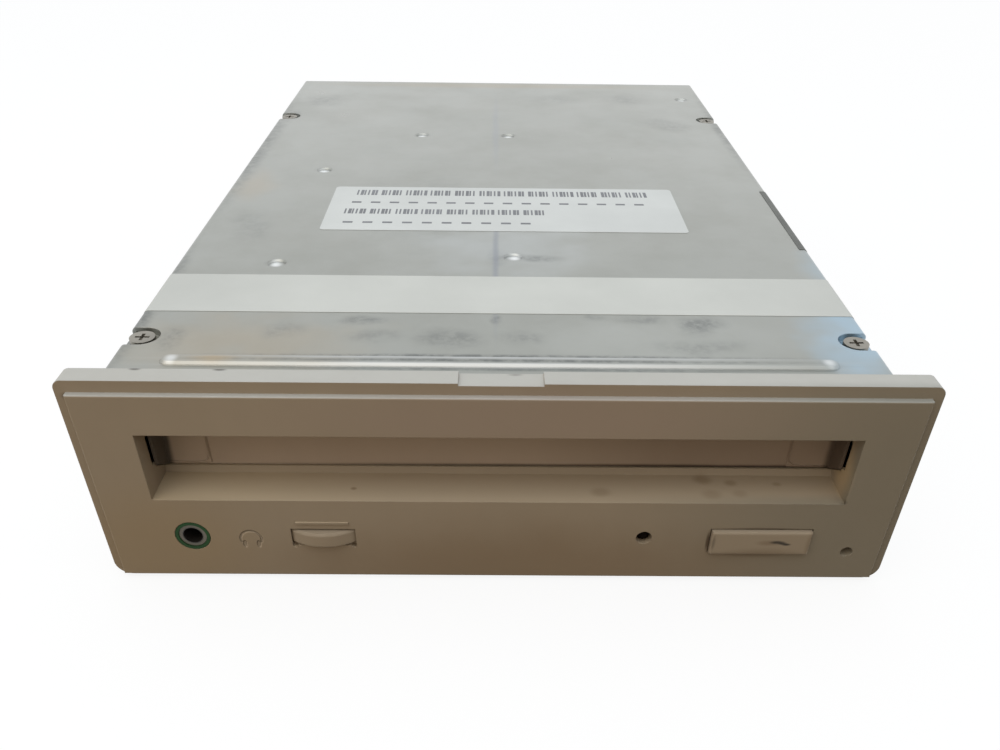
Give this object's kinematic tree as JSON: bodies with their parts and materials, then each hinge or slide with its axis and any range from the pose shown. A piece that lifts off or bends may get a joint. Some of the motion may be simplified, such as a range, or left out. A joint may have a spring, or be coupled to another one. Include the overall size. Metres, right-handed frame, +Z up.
{
  "type": "cd-rom drive",
  "caption": "Half-height internal disc drive that takes discs in a caddy: steel case, moulded bezel with a slot, dust door and controls.",
  "frame": {"origin": "centre of the four bottom mounting holes, on the underside of the chassis", "axes": "+X to the right seen from the front, +Y from the bezel to the rear connectors, +Z up to the cover"},
  "size_m": [0.149, 0.2108, 0.0432],
  "materials": {
    "casing_steel": "zinc-plated, satin",
    "cover_steel": "zinc-plated, satin",
    "bezel_plastic": "fine moulded texture",
    "door_plastic": "fine moulded texture",
    "green_plastic": "moulded",
    "dark_plastic": "moulded",
    "white_plastic": "moulded",
    "amber_lens": "clear tinted",
    "board_green": "solder-masked",
    "steel_parts": "turned and stamped",
    "screw_steel": "plated",
    "cast_base": "die-cast",
    "rubber_black": "matt",
    "pin_metal": "plated",
    "lens_glass": "polished",
    "capacitor_can": "sleeved"
  },
  "bodies": {
    "drive": {"chassis": "casing_steel", "top_cover": "cover_steel", "cover_screws": "screw_steel", "front_bezel": "bezel_plastic", "eject_switch": "dark_plastic", "volume_pot": "dark_plastic", "headphone_jack": "dark_plastic", "jack_ring": "green_plastic", "busy_led": "amber_lens", "loader_frame": "casing_steel", "slide_studs": "steel_parts", "lever_pivot": "steel_parts", "drive_belt": "rubber_black", "gear_plate": "casing_steel", "plate_posts": "steel_parts", "gear_shafts": "steel_parts", "loading_motor": "steel_parts", "optical_base": "cast_base", "deck_posts": "steel_parts", "isolation_grommets": "rubber_black", "deck_screws": "screw_steel", "spindle_motor": "steel_parts", "guide_rods": "steel_parts", "sled_motor": "steel_parts", "front_board": "board_green", "main_board": "board_green", "board_standoffs": "steel_parts", "board_screws": "screw_steel", "board_chips": "dark_plastic", "board_capacitors": "capacitor_can", "scsi_header": "dark_plastic", "audio_connector": "white_plastic", "jumper_block": "dark_plastic", "header_pins": "pin_metal", "power_connector": "white_plastic", "power_pins": "pin_metal"},
    "door": {"dust_door": "door_plastic", "door_spring": "steel_parts"},
    "button": {"eject_button": "bezel_plastic", "switch_plunger": "dark_plastic"},
    "wheel": {"volume_wheel": "bezel_plastic"},
    "carriage": {"caddy_holder": "steel_parts", "holder_pins": "steel_parts", "clamp_pivot": "steel_parts"},
    "clamp": {"clamp_arm": "steel_parts", "clamp_spring": "steel_parts"},
    "puck": {"clamp_puck": "dark_plastic"},
    "slide_left": {"cam_slide_left": "steel_parts"},
    "slide_right": {"cam_slide_right": "steel_parts"},
    "lever": {"sync_lever": "steel_parts"},
    "gear": {"main_gear": "white_plastic"},
    "pulley": {"gear_pulley": "white_plastic"},
    "small_pulley": {"motor_pulley": "white_plastic"},
    "platter": {"turntable": "dark_plastic"},
    "carrier": {"sled": "dark_plastic"},
    "lens": {"lens_holder": "dark_plastic", "objective_lens": "lens_glass"},
    "rack_gear": {"sled_gear": "white_plastic"},
    "motor_pinion": {"sled_pinion": "white_plastic"}
  },
  "joints": [
    {"name": "door_hinge", "type": "hinge", "parent": "drive", "child": "door", "pos_m": [0, -0.08622, 0.031], "axis": [1, 0, 0], "range_deg": [0, 80], "stiffness_Nm_per_rad": 0.002, "springref_deg": -17.19},
    {"name": "button_press", "type": "slide", "parent": "drive", "child": "button", "axis": [0, 1, 0], "range_m": [0, 0.0012], "stiffness_N_per_m": 200, "springref_m": -0.001},
    {"name": "volume_turn", "type": "hinge", "parent": "drive", "child": "wheel", "pos_m": [-0.0329, -0.08332, 0.0097], "axis": [0, 0, 1], "range_deg": [-135, 135]},
    {"name": "carriage_lift", "type": "slide", "parent": "drive", "child": "carriage", "axis": [0, 0, 1], "range_m": [-0.005, 0]},
    {"name": "cam_slide_left_move", "type": "slide", "parent": "drive", "child": "slide_left", "axis": [0, 1, 0], "range_m": [0, 0.01]},
    {"name": "cam_slide_right_move", "type": "slide", "parent": "drive", "child": "slide_right", "axis": [0, 1, 0], "range_m": [-0.01, 0]},
    {"name": "sync_lever_turn", "type": "hinge", "parent": "drive", "child": "lever", "pos_m": [0, 0.07798, 0.0134], "axis": [0, 0, 1], "range_deg": [-8.6, 0]},
    {"name": "main_gear_turn", "type": "hinge", "parent": "drive", "child": "gear", "pos_m": [0.0598, 0.09398, 0.0155], "axis": [0, 0, 1], "range_deg": [-119.4, 0]},
    {"name": "gear_pulley_turn", "type": "hinge", "parent": "drive", "child": "pulley", "pos_m": [0.04714, 0.09398, 0.012], "axis": [0, 0, 1], "range_deg": [0, 382]},
    {"name": "motor_pulley_turn", "type": "hinge", "parent": "drive", "child": "small_pulley", "pos_m": [0.014, 0.09398, 0.012], "axis": [0, 0, 1], "range_deg": [0, 1812.4]},
    {"name": "clamp_swing", "type": "hinge", "parent": "carriage", "child": "clamp", "pos_m": [0, 0.06148, 0.0314], "axis": [1, 0, 0], "range_deg": [0, 4.67]},
    {"name": "puck_spin", "type": "hinge", "parent": "clamp", "child": "puck", "pos_m": [0, -0.00331, 0.03668], "axis": [0, 0.0813, 0.9967], "continuous": true},
    {"name": "turntable_spin", "type": "hinge", "parent": "drive", "child": "platter", "pos_m": [0, -0.00352, 0.016], "axis": [0, 0, 1], "continuous": true},
    {"name": "sled_move", "type": "slide", "parent": "drive", "child": "carrier", "axis": [0, 1, 0], "range_m": [0, 0.036]},
    {"name": "sled_gear_turn", "type": "hinge", "parent": "drive", "child": "rack_gear", "pos_m": [0.02986, 0.02998, 0.0132], "axis": [0, 0, 1], "range_deg": [-286.5, 0]},
    {"name": "sled_pinion_turn", "type": "hinge", "parent": "drive", "child": "motor_pinion", "pos_m": [0.04012, 0.02998, 0.0132], "axis": [0, 0, 1], "range_deg": [0, 687.6]},
    {"name": "lens_focus", "type": "slide", "parent": "carrier", "child": "lens", "axis": [0, 0, 1], "range_m": [-0.0008, 0.0008], "stiffness_N_per_m": 30}
  ],
  "couplings": [
    {"joint": "cam_slide_left_move", "follows": "carriage_lift", "ratio": -2},
    {"joint": "cam_slide_right_move", "follows": "carriage_lift", "ratio": 2},
    {"joint": "sync_lever_turn", "follows": "carriage_lift", "rad_per_m": 29.974},
    {"joint": "main_gear_turn", "follows": "carriage_lift", "rad_per_m": 416.67},
    {"joint": "gear_pulley_turn", "follows": "carriage_lift", "rad_per_m": -1333.3},
    {"joint": "motor_pulley_turn", "follows": "carriage_lift", "rad_per_m": -6324.8},
    {"joint": "clamp_swing", "follows": "carriage_lift", "rad_per_m": -16.272},
    {"joint": "sled_gear_turn", "follows": "sled_move", "rad_per_m": -138.89},
    {"joint": "sled_pinion_turn", "follows": "sled_move", "rad_per_m": 333.33}
  ]
}
